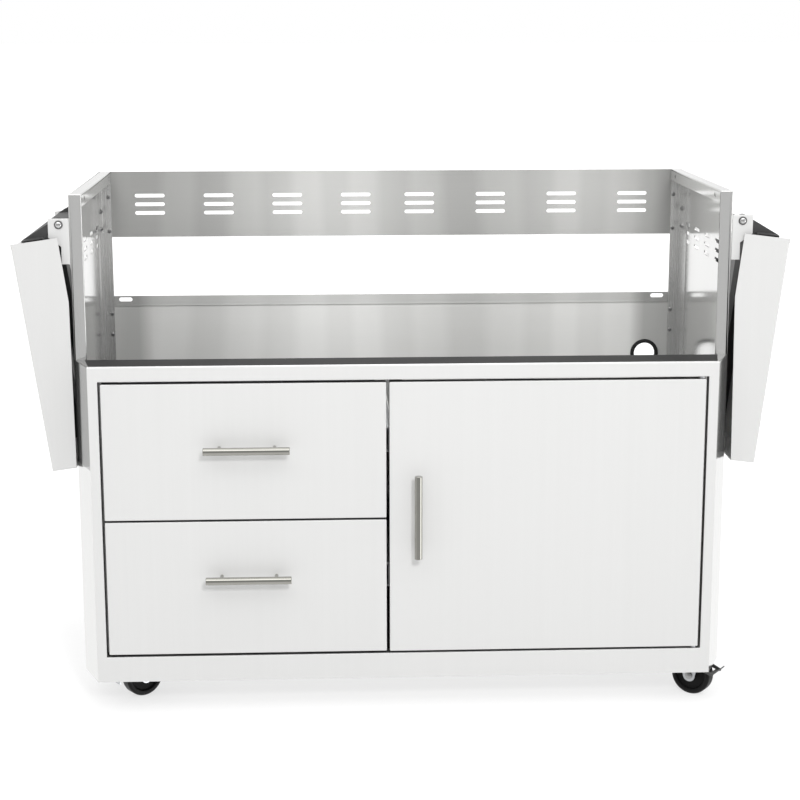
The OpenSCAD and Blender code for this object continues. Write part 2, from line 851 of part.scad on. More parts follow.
// Profile of an end plate: deep at the hinge, then tapering to the free edge
module end_plate_outline() {
    polygon([
        [shelf_in, pivot_under], [shelf_out, pivot_under], [shelf_out, pivot_under - shelf_tip],
        [shelf_in + shelf_shoulder, pivot_under - shelf_edge], [shelf_in, pivot_under - shelf_edge]
    ]);
}

// Shelf pan: top sheet, two end plates, free edge and a short lip at the hinge edge
module shelf_pan() {
    lip = 10;
    top = pivot_under;
    for (y = [shelf_y, shelf_back - sheet])
        translate([0, y + sheet, 0]) rotate([90, 0, 0]) linear_extrude(sheet) end_plate_outline();
    block([skin_in, shelf_y, top - sheet], [shelf_out, shelf_back, top]);
    block([skin_in, shelf_y, top - lip], [skin_in + sheet, shelf_back, top]);
    block([shelf_out - sheet, shelf_y, top - shelf_tip], [shelf_out, shelf_back, top]);
}

rail_in = shelf_in - 4;
rail_top = pivot_under - 20;
rail_low = pivot_under - 60;
rail_flange = 26;
rail_t = 2;

// Hinge rail: a channel along the hinge edge, with an ear at each bracket
module shelf_rail() {
    front = shelf_y + sheet;
    back = shelf_back - sheet;
    block([rail_in, front, rail_low], [rail_in + rail_t, back, rail_top]);
    block([rail_in, front, rail_top - rail_t], [rail_in + rail_flange, back, rail_top]);
    block([rail_in, front, rail_low], [rail_in + rail_flange, back, rail_low + rail_t]);
    for (y = [ear_front, ear_rear])
        translate([0, y + bracket_t, 0]) rotate([90, 0, 0]) linear_extrude(bracket_t)
            difference() {
                union() {
                    circle(r = ear_r);
                    polygon([
                        [-ear_r * sin(45), ear_r * sin(45)], [ear_r * sin(45), -ear_r * sin(45)],
                        [rail_in + rail_flange, rail_low], [rail_in + rail_flange, rail_top],
                        [rail_in, rail_top]
                    ]);
                }
                circle(r = pivot_bolt_d / 2 + running);
            }
}

stiffener_w = 44;
stiffener_in = 60;

// Three channels under the top sheet, from the hinge rail to the free edge
module shelf_stiffeners() {
    width = stiffener_w;
    low = rail_top;
    high = pivot_under - sheet;
    from = skin_in + sheet + seam;
    to = shelf_out - sheet - seam;
    for (step = [0:2])
        translate([0, shelf_y + stiffener_in + step * (shelf_l - 2 * stiffener_in - width) / 2, 0])
            difference() {
                block([from, 0, low], [to, width, high]);
                block([from - past, sheet, low + sheet], [to + past, width - sheet, high + past]);
            }
}

module left_shelf_pan() { color("whitesmoke") placed() hung(-1, left_hang) shelf_pan(); }
module right_shelf_pan() { color("whitesmoke") placed() hung(1, right_hang) shelf_pan(); }
module left_shelf_rail() { color("dimgray") placed() hung(-1, left_hang) shelf_rail(); }
module right_shelf_rail() { color("dimgray") placed() hung(1, right_hang) shelf_rail(); }
module left_shelf_stiffeners() { color("silver") placed() hung(-1, left_hang) shelf_stiffeners(); }
module right_shelf_stiffeners() { color("silver") placed() hung(1, right_hang) shelf_stiffeners(); }

// The four bolt holes of a caster plate
module plate_holes(low, high) {
    for (x = [-1, 1])
        for (y = [-1, 1])
            translate([x * plate_bolt_x / 2, y * plate_bolt_y / 2, low])
                cylinder(h = high - low, r = screw_r + 1 + running);
}

// Caster plates, each with the kingpin on which its fork turns
module caster_plates() {
    low = deck_z - plate_t;
    color("gray") placed()
        for (place = caster_places)
            translate([place[0], place[1], 0]) {
                difference() {
                    block([-plate_l / 2, -plate_w / 2, low], [plate_l / 2, plate_w / 2, deck_z]);
                    plate_holes(low - past, deck_z + past);
                }
                translate([0, 0, yoke_low - 3]) cylinder(h = low - yoke_low + 3, r = kingpin_r);
                translate([0, 0, yoke_low - 3]) cylinder(h = 2.7, r = kingpin_r + 3);
            }
}

module caster_bolts() {
    head_t = 3;
    color("gray") placed()
        for (place = caster_places)
            for (x = [-1, 1])
                for (y = [-1, 1])
                    translate([place[0] + x * plate_bolt_x / 2, place[1] + y * plate_bolt_y / 2, 0]) {
                        translate([0, 0, deck_z - plate_t]) cylinder(h = plate_t + sheet, r = screw_r + 1);
                        translate([0, 0, deck_z - plate_t - head_t]) cylinder(h = head_t, r = 5.5);
                        translate([0, 0, deck_z + sheet]) cylinder(h = 4.5, r = 6, $fn = 6);
                    }
}

// Puts a piece of a caster at its place and turns it
module at_caster(index) {
    place = caster_places[index];
    translate([place[0], place[1], 0]) rotate([0, 0, caster_turn[index]]) children();
}

// Fork of a caster: the swivel race, the yoke's top and its two legs
module fork_shape() {
    foot_r = 12;
    color("silver")
        difference() {
            union() {
                translate([0, 0, race_low]) cylinder(h = race_t, r = race_r);
                block([-18, -leg_out, yoke_low], [30, leg_out, race_low]);
                for (side = [-1, 1])
                    translate([0, side * (leg_in + yoke_t / 2) + yoke_t / 2, 0])
                        rotate([90, 0, 0]) linear_extrude(yoke_t)
                            difference() {
                                union() {
                                    polygon([
                                        [-18, race_low], [30, race_low], lever_pivot + [5, 4],
                                        lever_pivot + [4, -6],
                                        [trail + foot_r, wheel_r], [trail - foot_r, wheel_r]
                                    ]);
                                    translate([trail, wheel_r]) circle(r = foot_r);
                                }
                                translate([trail, wheel_r]) circle(r = axle_d / 2 + running);
                            }
            }
            translate([0, 0, yoke_low - past]) cylinder(h = race_t + yoke_t + 2 * past, r = kingpin_r + running);
        }
}

// Caster wheel: a tread with rounded shoulders on a dished core with a bored hub
module wheel_shape() {
    half = wheel_w / 2;
    shoulder = 5;
    dish = 3;
    rim_r = wheel_r - 9;
    hub_r = axle_d / 2 + 7;
    bore_r = axle_d / 2 + running;
    color("black")
        translate([trail, 0, wheel_r]) rotate([90, 0, 0]) rotate_extrude()
            polygon(concat(
                [[bore_r, -half], [hub_r, -half], [hub_r + 3, -half + dish], [rim_r - 3, -half + dish], [rim_r, -half]],
                [for (turn = [0:30:90]) [wheel_r - shoulder + shoulder * sin(turn),
                                         -half + shoulder - shoulder * cos(turn)]],
                [for (turn = [90:-30:0]) [wheel_r - shoulder + shoulder * sin(turn),
                                          half - shoulder + shoulder * cos(turn)]],
                [[rim_r, half], [rim_r - 3, half - dish], [hub_r + 3, half - dish], [hub_r, half], [bore_r, half]]
            ));
}

// Axle of a caster: a bolt through both legs, with its head and nut outside them
module axle_shape() {
    outer = leg_out;
    color("lightgray")
        translate([trail, 0, wheel_r]) rotate([90, 0, 0]) {
            cylinder(h = 2 * outer + 6, d = axle_d, center = true);
            translate([0, 0, outer]) cylinder(h = 4, r = axle_d / 2 + 3);
            translate([0, 0, -outer - 5]) cylinder(h = 5, r = axle_d / 2 + 3, $fn = 6);
        }
}

// Brake lever: two arms outside the fork's legs, joined by a pedal behind the wheel
module lever_shape() {
    arm_t = 2;
    arm_in = leg_out + swing;
    arm_out = arm_in + arm_t;
    arm_r = 4.5;
    tail_r = 2.5;
    color("dimgray") {
        for (side = [-1, 1])
            translate([0, side * (arm_in + arm_t / 2) + arm_t / 2, 0])
                rotate([90, 0, 0]) linear_extrude(arm_t)
                    difference() {
                        union() {
                            translate(lever_pivot) circle(r = arm_r);
                            translate(lever_tail) circle(r = tail_r);
                            polygon([
                                lever_pivot + [-1, -arm_r], lever_tail + [0, -tail_r],
                                lever_tail + [1, tail_r], lever_pivot + [1, arm_r]
                            ]);
                        }
                        translate(lever_pivot) circle(r = rivet_r + running);
                    }
        translate([0, arm_out, 0]) rotate([90, 0, 0]) linear_extrude(2 * arm_out)
            polygon([
                lever_tail + [-7, -1], lever_tail + [0, -1.5], lever_tail + [9, 7.5], lever_tail + [7.5, 9],
                lever_tail + [-0.5, 0.5], lever_tail + [-7, 1]
            ]);
    }
}

// Fork with the two rivets on which its brake lever turns, and a guard in front of the wheel
module braked_fork() {
    rivet_l = yoke_t + 2 * swing + 2;
    color("silver") {
        fork_shape();
        for (side = [0, 1])
            mirror([0, side, 0])
                translate([lever_pivot[0], leg_in, lever_pivot[1]]) rotate([-90, 0, 0]) {
                    cylinder(h = rivet_l + 1, r = rivet_r);
                    translate([0, 0, rivet_l]) cylinder(h = 1, r = rivet_r + 1.5);
                }
        block([-20.5, -8, 32], [-18, 8, race_low]);
    }
}

module front_left_fork() { placed() at_caster(0) braked_fork(); }
module front_right_fork() { placed() at_caster(1) braked_fork(); }
module rear_left_fork() { placed() at_caster(2) fork_shape(); }
module rear_right_fork() { placed() at_caster(3) fork_shape(); }
module front_left_wheel() { placed() at_caster(0) wheel_shape(); }
module front_right_wheel() { placed() at_caster(1) wheel_shape(); }
module rear_left_wheel() { placed() at_caster(2) wheel_shape(); }
module rear_right_wheel() { placed() at_caster(3) wheel_shape(); }
module caster_axles_front_left() { placed() at_caster(0) axle_shape(); }
module caster_axles_front_right() { placed() at_caster(1) axle_shape(); }
module caster_axles_rear_left() { placed() at_caster(2) axle_shape(); }
module caster_axles_rear_right() { placed() at_caster(3) axle_shape(); }
module left_brake_lever() { placed() at_caster(0) lever_shape(); }
module right_brake_lever() { placed() at_caster(1) lever_shape(); }

left_side_panel();
right_side_panel();
left_corner_post();
right_corner_post();
left_rear_post();
right_rear_post();
face_frame();
top_ledge();
deck();
rear_upper_panel();
rear_lower_panel();
rear_panel_screws();
hose_grommet();
slide_panel();
divider();
slide_outer_rails();
upper_slide_middles();
lower_slide_middles();
upper_slide_inners();
lower_slide_inners();
upper_drawer_front();
upper_drawer_box();
upper_handle_bar();
upper_handle_posts();
lower_drawer_front();
lower_drawer_box();
lower_handle_bar();
lower_handle_posts();
door_skin();
door_liner();
door_handle_bar();
door_handle_posts();
door_pivot_pins();
door_catch();
shelf_brackets();
bracket_screws();
shelf_pivot_bolts();
left_shelf_pan();
left_shelf_rail();
left_shelf_stiffeners();
right_shelf_pan();
right_shelf_rail();
right_shelf_stiffeners();
caster_plates();
caster_bolts();
front_left_fork();
front_right_fork();
rear_left_fork();
rear_right_fork();
front_left_wheel();
front_right_wheel();
rear_left_wheel();
rear_right_wheel();
caster_axles_front_left();
caster_axles_front_right();
caster_axles_rear_left();
caster_axles_rear_right();
left_brake_lever();
right_brake_lever();
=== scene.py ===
import json
import math

import bmesh
import bpy
from mathutils import Matrix, Vector

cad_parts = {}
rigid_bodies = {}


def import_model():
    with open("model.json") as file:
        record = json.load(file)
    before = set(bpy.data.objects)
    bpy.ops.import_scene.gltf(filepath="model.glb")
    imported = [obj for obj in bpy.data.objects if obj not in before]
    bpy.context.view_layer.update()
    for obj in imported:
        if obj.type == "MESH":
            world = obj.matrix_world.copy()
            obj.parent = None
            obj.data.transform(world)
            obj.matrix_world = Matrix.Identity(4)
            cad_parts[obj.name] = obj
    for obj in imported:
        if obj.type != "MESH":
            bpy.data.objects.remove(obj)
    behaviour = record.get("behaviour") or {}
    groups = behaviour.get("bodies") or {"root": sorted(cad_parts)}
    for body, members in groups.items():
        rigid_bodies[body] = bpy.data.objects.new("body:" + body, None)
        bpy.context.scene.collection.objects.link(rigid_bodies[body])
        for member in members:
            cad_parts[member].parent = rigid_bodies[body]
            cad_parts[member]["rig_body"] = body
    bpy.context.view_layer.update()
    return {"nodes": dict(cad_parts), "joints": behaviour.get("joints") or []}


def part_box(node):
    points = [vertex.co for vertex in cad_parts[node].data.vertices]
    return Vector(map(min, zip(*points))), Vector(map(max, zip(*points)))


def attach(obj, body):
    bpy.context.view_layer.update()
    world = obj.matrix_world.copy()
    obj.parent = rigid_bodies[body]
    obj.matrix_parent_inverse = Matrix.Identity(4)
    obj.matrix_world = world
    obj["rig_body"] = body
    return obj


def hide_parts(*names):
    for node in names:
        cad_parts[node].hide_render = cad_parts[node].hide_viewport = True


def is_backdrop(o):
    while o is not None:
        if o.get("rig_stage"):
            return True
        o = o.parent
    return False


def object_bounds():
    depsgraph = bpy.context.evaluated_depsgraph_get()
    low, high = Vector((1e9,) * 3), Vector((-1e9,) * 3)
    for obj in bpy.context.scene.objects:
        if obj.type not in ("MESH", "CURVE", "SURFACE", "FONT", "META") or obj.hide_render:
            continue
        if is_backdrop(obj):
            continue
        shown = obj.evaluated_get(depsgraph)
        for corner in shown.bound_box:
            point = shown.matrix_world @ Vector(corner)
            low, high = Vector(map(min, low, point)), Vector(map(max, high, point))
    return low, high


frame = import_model()

# Camera
# The camera stands a little left of the middle, at chest height, and looks slightly down.
photo_frame = 800
focal_pixels = 1811.93
camera_place = Vector((-0.14727, -3.42697, 1.24378))
pitch = math.radians(11.967)
yaw = math.radians(2.514)
roll = math.radians(-0.068)
film_width = 36
sight = 200
ahead = Vector((math.sin(yaw) * math.cos(pitch), math.cos(yaw) * math.cos(pitch), -math.sin(pitch)))
level_right = Vector((math.cos(yaw), -math.sin(yaw), 0))
level_up = level_right.cross(ahead)
right = level_right * math.cos(roll) + level_up * math.sin(roll)
up = level_up * math.cos(roll) - level_right * math.sin(roll)
camera_data = bpy.data.cameras.new("camera")
camera_data.sensor_width = film_width
camera_data.lens = focal_pixels / photo_frame * film_width
camera_data.clip_end = sight
camera = bpy.data.objects.new("camera", camera_data)
camera_turn = Matrix((right, up, -ahead)).transposed().to_4x4()
camera.matrix_world = Matrix.Translation(camera_place) @ camera_turn
bpy.context.scene.collection.objects.link(camera)
bpy.context.scene.camera = camera
bpy.context.scene.view_settings.view_transform = "Standard"


# Studio
# A white floor that runs into a plain white backdrop, with a high soft light at the front. The
# bands of the sky are the cards and windows that the polished sheets mirror.
class Socket:
    """One output of a shader node, which adds Math nodes when it is used in an expression."""

    def __init__(self, shader, output):
        self.shader = shader
        self.output = output

    def math(self, operation, *values):
        return self.shader.node("ShaderNodeMath", {"operation": operation}, list(values)).out()

    def __add__(self, other):
        return self.math("ADD", self, other)

    def __radd__(self, other):
        return self.math("ADD", other, self)

    def __sub__(self, other):
        return self.math("SUBTRACT", self, other)

    def __rsub__(self, other):
        return self.math("SUBTRACT", other, self)

    def __mul__(self, other):
        return self.math("MULTIPLY", self, other)

    def __rmul__(self, other):
        return self.math("MULTIPLY", other, self)

    def __truediv__(self, other):
        return self.math("DIVIDE", self, other)

    def __pow__(self, other):
        return self.math("POWER", self, other)

    def sine(self):
        return self.math("SINE", self)

    def clamp(self):
        return self.math("MINIMUM", self.math("MAXIMUM", self, 0), 1)

    def above(self, edge, soft):
        """0 below the edge, 1 above it, with a soft step."""
        return ((self - edge) / soft + 0.5).clamp()

    def between(self, low, low_soft, high, high_soft):
        """1 between two edges and 0 outside them, with soft steps."""
        return self.above(low, low_soft) * (1 - self.above(high, high_soft))


class Node:
    """A shader node whose outputs are read by name or number."""

    def __init__(self, shader, made):
        self.shader = shader
        self.made = made

    def out(self, name=0):
        return Socket(self.shader, self.made.outputs[name])


class Shader:
    """A material or a world, built from nodes."""

    def __init__(self, owner):
        owner.use_nodes = True
        self.tree = owner.node_tree
        self.tree.nodes.clear()

    def node(self, kind, settings=None, sockets=None):
        """Any node, from its type, its settings and the values or links of its sockets."""
        made = self.tree.nodes.new(kind)
        for name, value in (settings or {}).items():
            setattr(made, name, value)
        named = sockets.items() if isinstance(sockets, dict) else enumerate(sockets or [])
        for name, value in named:
            if isinstance(value, Socket):
                self.tree.links.new(value.output, made.inputs[name])
            else:
                made.inputs[name].default_value = value
        return Node(self, made)

    def place(self):
        """Object coordinates, in metres."""
        return self.node("ShaderNodeTexCoord").out("Object")

    def split(self, vector):
        parts = self.node("ShaderNodeSeparateXYZ", {}, [vector])
        return parts.out("X"), parts.out("Y"), parts.out("Z")

    def stretch(self, vector, scale):
        """Coordinates times a scale for each axis, which draws a pattern out along the smallest."""
        return self.node("ShaderNodeMapping", {}, {"Vector": vector, "Scale": scale}).out()

    def noise(self, vector, scale, detail=3.0, roughness=0.5):
        sockets = {"Vector": vector, "Scale": scale, "Detail": detail, "Roughness": roughness}
        return self.node("ShaderNodeTexNoise", {}, sockets).out(0)

    def mix(self, factor, first, second):
        """One colour turned into another by the factor."""
        made = self.node("ShaderNodeMix", {"data_type": "RGBA"}, {0: factor, 6: first, 7: second})
        return made.out(2)

    def bump(self, height, strength, distance):
        return self.node("ShaderNodeBump", {}, {
            "Height": height, "Strength": strength, "Distance": distance}).out()


world = bpy.data.worlds.new("studio")
bpy.context.scene.world = world
sky = Shader(world)
sky_x, sky_y, sky_z = sky.split(sky.node("ShaderNodeTexCoord").out("Generated"))
from_front = (sky_y * -1).above(0.35, 0.5)
skyline = sky_z.between(0.0, 0.02, 0.2, 0.1)
far_side = (sky_x * sky_x).above(0.8, 0.3) * (1 - skyline)
dim_band = from_front * sky_z.between(-0.35, 0.3, 0.45, 0.2)
bright_strip = from_front * sky_z.between(0.66, 0.08, 0.84, 0.08)
dim_back = sky_y.above(0.4, 0.3) * sky_z.between(0.1, 0.1, 0.5, 0.2)
overhead = sky_z.above(0.84, 0.2)
right_strip = sky_x.between(0.8, 0.1, 0.95, 0.05) * sky_z.between(-0.38, 0.1, 0.0, 0.1)
right_strip = right_strip * (sky_y * -1).above(0.22, 0.1)
glow = 1.08 - from_front * 0.1 - dim_band * 0.5 - dim_back * 0.35 - far_side * 0.2
glow = glow + bright_strip * 2.3 + overhead * 0.7 + right_strip * 3.5
to_camera = sky.node("ShaderNodeLightPath").out("Is Camera Ray")
glow = glow * (1 - to_camera) + to_camera
backing = sky.node("ShaderNodeBackground", {}, {"Color": (1, 1, 1, 1), "Strength": glow})
sky.node("ShaderNodeOutputWorld", {}, {"Surface": backing.out()})

floor_size = 160
bpy.ops.object.select_all(action="DESELECT")
bpy.ops.mesh.primitive_plane_add(size=floor_size, location=(0, 0, 0))
floor = bpy.context.active_object
floor.name = "floor"
floor_paint = bpy.data.materials.new("floor_paint")
paint = Shader(floor_paint)
floor_x, floor_y, floor_z = paint.split(paint.place())
# The floor glows by its emission, painted light that is stronger away from the middle, so that it
# reads white around the cart's faint shadow.
glow_away = ((floor_x * floor_x + floor_y * floor_y) ** 0.5).above(1.6, 1.8)
floor_tone = paint.noise(paint.place(), 1.5)
floor_finish = paint.node("ShaderNodeBsdfPrincipled", {}, {
    "Base Color": paint.mix(floor_tone, (0.27, 0.27, 0.27, 1), (0.29, 0.29, 0.29, 1)),
    "Roughness": 0.9,
    "Emission Color": paint.mix(glow_away, (0.66, 0.66, 0.66, 1), (0.85, 0.85, 0.85, 1)),
    "Emission Strength": 1.0,
})
paint.node("ShaderNodeOutputMaterial", {}, {"Surface": floor_finish.out()})
floor.data.materials.append(floor_paint)
floor.visible_glossy = False
floor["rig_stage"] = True


def soft_light(name, shape, power, place, size, depth=None, aim=None):
    """A lamp that no surface mirrors and the camera doesn't see, pointing down unless aimed."""
    data = bpy.data.lights.new(name, "AREA")
    data.shape = shape
    data.size = size
    if depth:
        data.size_y = depth
    data.energy = power
    lamp = bpy.data.objects.new(name, data)
    lamp.location = place
    if aim:
        lamp.rotation_euler = (Vector(aim) - Vector(place)).to_track_quat("-Z", "Y").to_euler()
    lamp.visible_glossy = False
    lamp.visible_camera = False
    bpy.context.scene.collection.objects.link(lamp)


# The high light is the main one. A faint one fills the bay, and the two smallest stand inside the
# hanging shelves, where they light what the vent slots show.
soft_light("high_front_light", "DISK", 80, (0.45, -3.6, 2.25), 0.6, aim=(0, 0, 0.6))
soft_light("bay_fill_light", "RECTANGLE", 5, (0, 0, 1.02), 0.95, 0.3)
for side, lamp_x in (("left", -0.635), ("right", 0.645)):
    soft_light(side + "_wedge_light", "RECTANGLE", 0.07, (lamp_x, 0.28, 0.775), 0.05, 0.1,
               aim=(lamp_x, 1, 0.775))


# Side panels of the cabinet
# Stainless sheet, folded at every edge, rising past the front as the walls of the grill bay.
# Their inner faces are almost mirrors; the grain runs upright.
def brushed(name, light, dark, rough, grain=(700, 700, 5), metallic=1.0, spread=0.12,
            painted_reflection_from=None):
    """Brushed steel, its grain along the axis of the smallest scale, darker above a height with a
    painted reflection.
    """
    material = bpy.data.materials.new(name)
    steel = Shader(material)
    place = steel.place()
    hair = steel.noise(steel.stretch(place, grain), 1.0, 4.0, 0.6)
    streak = steel.noise(steel.stretch(place, tuple(size / 12 for size in grain)), 1.0, 2.0)
    cloud = steel.noise(steel.stretch(place, (4, 4, 1.5)), 1.0, 2.0)
    tone = hair * 0.35 + streak * 0.3 + cloud * 0.35
    colour = steel.mix(tone.above(0.5, 0.7), dark, light)
    # Painted reflection: above the height the colour turns towards near black, standing for the
    # dark shelf mirrored there.
    if painted_reflection_from:
        across, through, height = steel.split(place)
        painted_reflection = height.above(painted_reflection_from, 0.003) * 0.45
        colour = steel.mix(painted_reflection, colour, (0.04, 0.04, 0.04, 1))
    finish = steel.node("ShaderNodeBsdfPrincipled", {}, {
        "Base Color": colour,
        "Metallic": metallic,
        "Roughness": rough + (hair - 0.5) * spread,
        "Normal": steel.bump(hair, 0.05, 0.0003),
    })
    steel.node("ShaderNodeOutputMaterial", {}, {"Surface": finish.out()})
    return material


def make_active(piece):
    """Selects one piece and nothing else."""
    bpy.ops.object.select_all(action="DESELECT")
    piece.select_set(True)
    bpy.context.view_layer.objects.active = piece


def apply_modifier(piece, kind, **settings):
    """Adds a modifier with its settings and applies it."""
    make_active(piece)
    modifier = piece.modifiers.new(kind.lower(), kind)
    for name, value in settings.items():
        setattr(modifier, name, value)
    bpy.ops.object.modifier_apply(modifier=modifier.name)


def smooth(piece, limit=42):
    """Smooth shading that keeps flat faces flat: a corner leans to the broad faces around it."""
    mesh = piece.data
    around = [[] for vertex in mesh.vertices]
    normals = [face.normal.copy() for face in mesh.polygons]
    areas = [face.area ** 1.5 for face in mesh.polygons]
    for face in mesh.polygons:
        face.use_smooth = True
        for vertex in face.vertices:
            around[vertex].append(face.index)
    least = math.cos(math.radians(limit))
    corners = []
    for face in mesh.polygons:
        own = normals[face.index]
        for vertex in face.vertices:
            total = Vector()
            for other in around[vertex]:
                if normals[other].dot(own) > least:
                    total += normals[other] * areas[other]
            corners.append(total.normalized() if total.length > 0 else own)
    mesh.normals_split_custom_set(corners)


same_place = 0.00001
flat_angle = math.radians(1)


def merged_copy(node):
    """A new piece from a CAD node's mesh, with its loose triangles joined into flat faces."""
    piece = bpy.data.objects.new(node + "_sheet", frame["nodes"][node].data.copy())
    bpy.context.scene.collection.objects.link(piece)
    make_active(piece)
    bpy.ops.object.mode_set(mode="EDIT")
    bpy.ops.mesh.select_all(action="SELECT")
    bpy.ops.mesh.remove_doubles(threshold=same_place)
    bpy.ops.mesh.dissolve_limited(angle_limit=flat_angle)
    bpy.ops.object.mode_set(mode="OBJECT")
    return piece


body_of = {node: piece["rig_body"] for node, piece in frame["nodes"].items()}


def dress(piece, finish, node):
    """Gives a piece its finish and lets it stand for a CAD node."""
    piece.data.materials.clear()
    piece.data.materials.append(finish)
    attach(piece, body_of[node])
    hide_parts(node)


def weigh_folds(mesh, ratio, broad):
    """Marks the folds, edges between broad faces, and leaves the cut edges of the sheet alone."""
    weight = mesh.edges.layers.float.new("bevel_weight_edge")
    width = {face: face.calc_area() / max(edge.calc_length() for edge in face.edges)
             for face in mesh.faces}
    least_turn = 0.1
    folds = []
    for edge in mesh.edges:
        if len(edge.link_faces) == 2 and edge.calc_face_angle() > least_turn:
            if min(width[face] for face in edge.link_faces) > broad:
                edge[weight] = 1.0 if edge.is_convex else ratio
                folds.append(edge)
    return folds


def planes_beside(folds, beside):
    """Planes that run beside each fold, a little way into the two faces that meet there."""
    parallel = 0.999
    apart = 0.002
    planes = []
    for edge in folds:
        middle = (edge.verts[0].co + edge.verts[1].co) / 2
        along = (edge.verts[1].co - edge.verts[0].co).normalized()
        for face in edge.link_faces:
            inward = face.normal.cross(along)
            if (face.calc_center_median() - middle).dot(inward) < 0:
                inward.negate()
            place = middle + inward * beside
            if all(abs(inward.dot(known)) < parallel or abs((place - spot).dot(known)) > apart
                   for spot, known in planes):
                planes.append((place, inward))
    return planes


def folded(node, finish, outer=0.0018, inner=0.0008, broad=0.003):
    """A sheet piece with the radius of the press brake on its folds and sharp cut edges."""
    piece = merged_copy(node)
    mesh = bmesh.new()
    mesh.from_mesh(piece.data)
    folds = weigh_folds(mesh, inner / outer, broad)
    past_radius = outer * 2.2
    for place, normal in planes_beside(folds, past_radius):
        everything = mesh.verts[:] + mesh.edges[:] + mesh.faces[:]
        cut = bmesh.ops.bisect_plane(mesh, geom=everything, dist=same_place / 10, plane_co=place,
                                     plane_no=normal)
        for item in cut["geom_cut"]:
            if isinstance(item, bmesh.types.BMEdge):
                item.seam = True
    bmesh.ops.dissolve_limit(mesh, angle_limit=flat_angle, verts=mesh.verts[:], edges=mesh.edges[:],
                             delimit={"SEAM"})
    mesh.to_mesh(piece.data)
    mesh.free()
    apply_modifier(piece, "BEVEL", limit_method="WEIGHT", width=outer, segments=3,
                   use_clamp_overlap=False)
    low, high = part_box(node)
    for vertex in piece.data.vertices:
        vertex.co = [min(max(vertex.co[axis], low[axis]), high[axis]) for axis in range(3)]
    smooth(piece)
    dress(piece, finish, node)
    return piece


polished = {"light": (0.80, 0.80, 0.79, 1), "dark": (0.70, 0.70, 0.69, 1), "rough": 0.13,
            "metallic": 0.88, "spread": 0.05}
panel_steel = brushed("panel_steel", **polished)
for node in ("left_side_panel", "right_side_panel"):
    folded(node, panel_steel)


# Bevelled posts at the front corners
# Narrow folded strips of the same sheet, standing at a slant between the side panels and the front.
# The left one is darker above a height beside the hanging shelf, where its colour holds a painted
# reflection of the dark shelf.
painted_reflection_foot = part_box("left_shelf_pan")[0][2] + 0.016
post_steel_painted_reflection = brushed("post_steel_painted_reflection", **polished, painted_reflection_from=painted_reflection_foot)
folded("left_corner_post", post_steel_painted_reflection)
folded("right_corner_post", panel_steel)


# Face frame
# One stainless sheet with a single large opening, its edges folded back, finely brushed upright.
# The folded returns inside the opening are near black, painted shade for the dark gaps around the
# drawers and the door.
front_steel = brushed("front_steel", (0.60, 0.60, 0.595, 1), (0.56, 0.56, 0.555, 1), 0.48,
                      metallic=0.2)
# Near black painted shade for the dark gaps behind the edges of the fronts.
return_painted_shade = brushed("return_painted_shade", (0.12, 0.12, 0.118, 1), (0.08, 0.08, 0.078, 1), 0.6,
                       metallic=0.25)


def returns_in_painted_shade(piece, inside=0.0):
    """Gives a front's folded returns, those further in than a margin, a near black painted shade.
    """
    piece.data.materials.append(return_painted_shade)
    spans = [[vertex.co[axis] for vertex in piece.data.vertices] for axis in (0, 2)]
    ends = [(axis, limit(span)) for axis, span in zip((0, 2), spans) for limit in (min, max)]
    for face in piece.data.polygons:
        across_front = abs(face.normal.y) < 0.2
        if across_front and min(abs(face.center[axis] - end) for axis, end in ends) >= inside:
            face.material_index = 1


outer_edge = 0.008
returns_in_painted_shade(folded("face_frame", front_steel), outer_edge)


# Ledge along the top of the front
# A folded strip of steel with a black satin coat, which closes the cabinet's front below the bay.
def coated(name, colour, speck, rough, metallic=0.0, gloss=0.5):
    """Paint, rubber or plastic with a fine uneven skin."""
    material = bpy.data.materials.new(name)
    skin = Shader(material)
    grain = skin.noise(skin.place(), 900, 3.0)
    cloud = skin.noise(skin.place(), 12, 2.0)
    finish = skin.node("ShaderNodeBsdfPrincipled", {}, {
        "Base Color": skin.mix((grain * 0.5 + cloud * 0.5).above(0.5, 0.5), colour, speck),
        "Metallic": metallic,
        "Roughness": rough + (grain - 0.5) * 0.2,
        "Specular IOR Level": gloss,
        "Normal": skin.bump(grain, 0.12, 0.0004),
    })
    skin.node("ShaderNodeOutputMaterial", {}, {"Surface": finish.out()})
    return material


ledge_black = coated("ledge_black", (0.012, 0.012, 0.012, 1), (0.022, 0.022, 0.022, 1), 0.42,
                     gloss=0.04)
folded("top_ledge", ledge_black)


